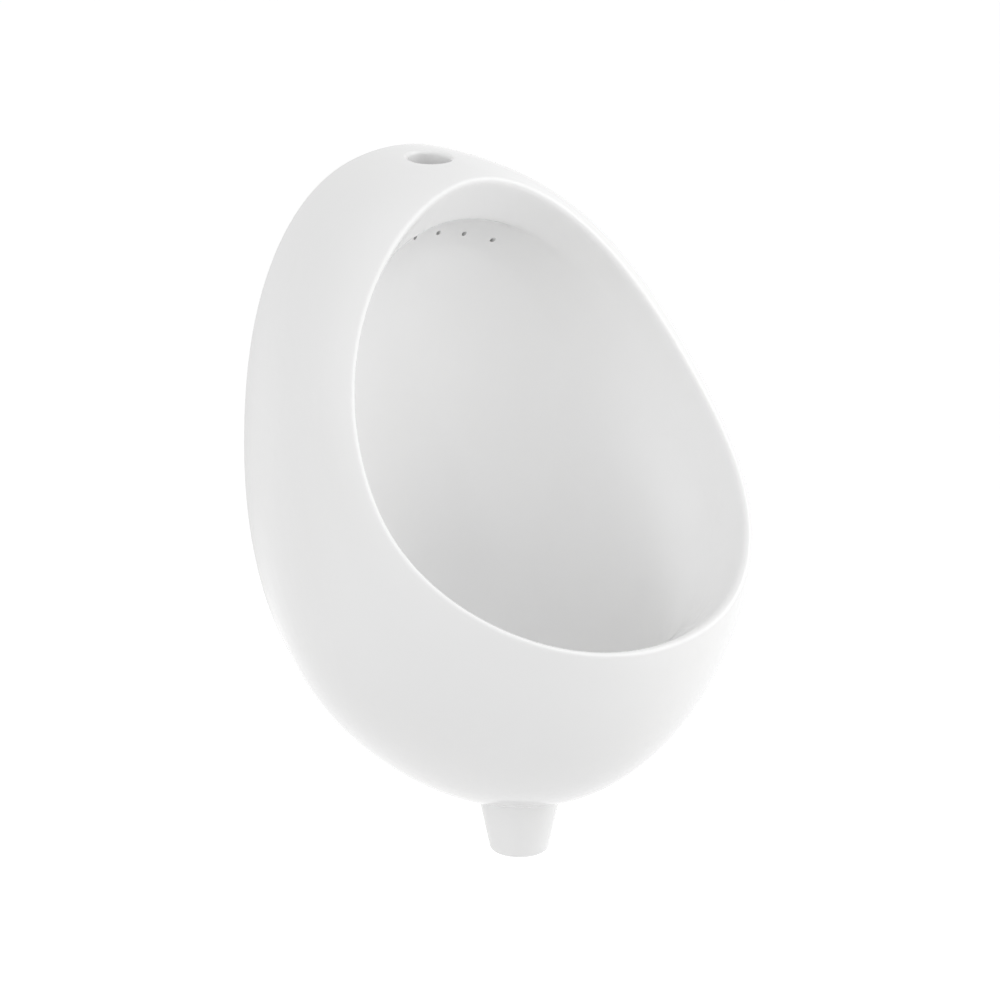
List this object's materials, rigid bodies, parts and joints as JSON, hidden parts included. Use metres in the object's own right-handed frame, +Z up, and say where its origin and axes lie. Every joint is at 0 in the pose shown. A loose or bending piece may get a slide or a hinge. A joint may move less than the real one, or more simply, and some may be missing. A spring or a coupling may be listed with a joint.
{
  "type": "wall hung urinal",
  "caption": "Wall hung urinal bowl in white glazed china with a rolled egg-shaped rim, top inlet, outlet horn, lift-out strainer and hidden wall hangers.",
  "frame": {"origin": "middle of the four wall fixings, on the wall's face", "axes": "+Z up, -Y out from the wall towards the user, +X to the user's right"},
  "size_m": [0.3776, 0.3323, 0.5006],
  "materials": {
    "china": "white vitreous china, glossy glaze",
    "strainer_steel": "polished stainless steel",
    "spring_steel": "stainless spring steel",
    "seal_rubber": "black moulded rubber",
    "hanger_zinc": "zinc plated pressed steel",
    "pad_rubber": "black rubber",
    "fixing_zinc": "zinc plated steel"
  },
  "bodies": {
    "wall_hangers": {"hanger_bracket_left": "hanger_zinc", "hanger_bracket_right": "hanger_zinc", "hanger_pads": "pad_rubber", "hanger_washers": "fixing_zinc", "hanger_screws": "fixing_zinc"},
    "bowl_body": {"bowl": "china"},
    "strainer": {"outlet_strainer": "strainer_steel", "strainer_screw": "strainer_steel", "strainer_clip": "spring_steel", "strainer_seal": "seal_rubber"}
  },
  "joints": [
    {"name": "bowl_lift", "type": "slide", "parent": "wall_hangers", "child": "bowl_body", "axis": [0, 0, 1], "range_m": [0, 0.014]},
    {"name": "strainer_lift", "type": "slide", "parent": "bowl_body", "child": "strainer", "axis": [0, 0, 1], "range_m": [0, 0.06]}
  ]
}
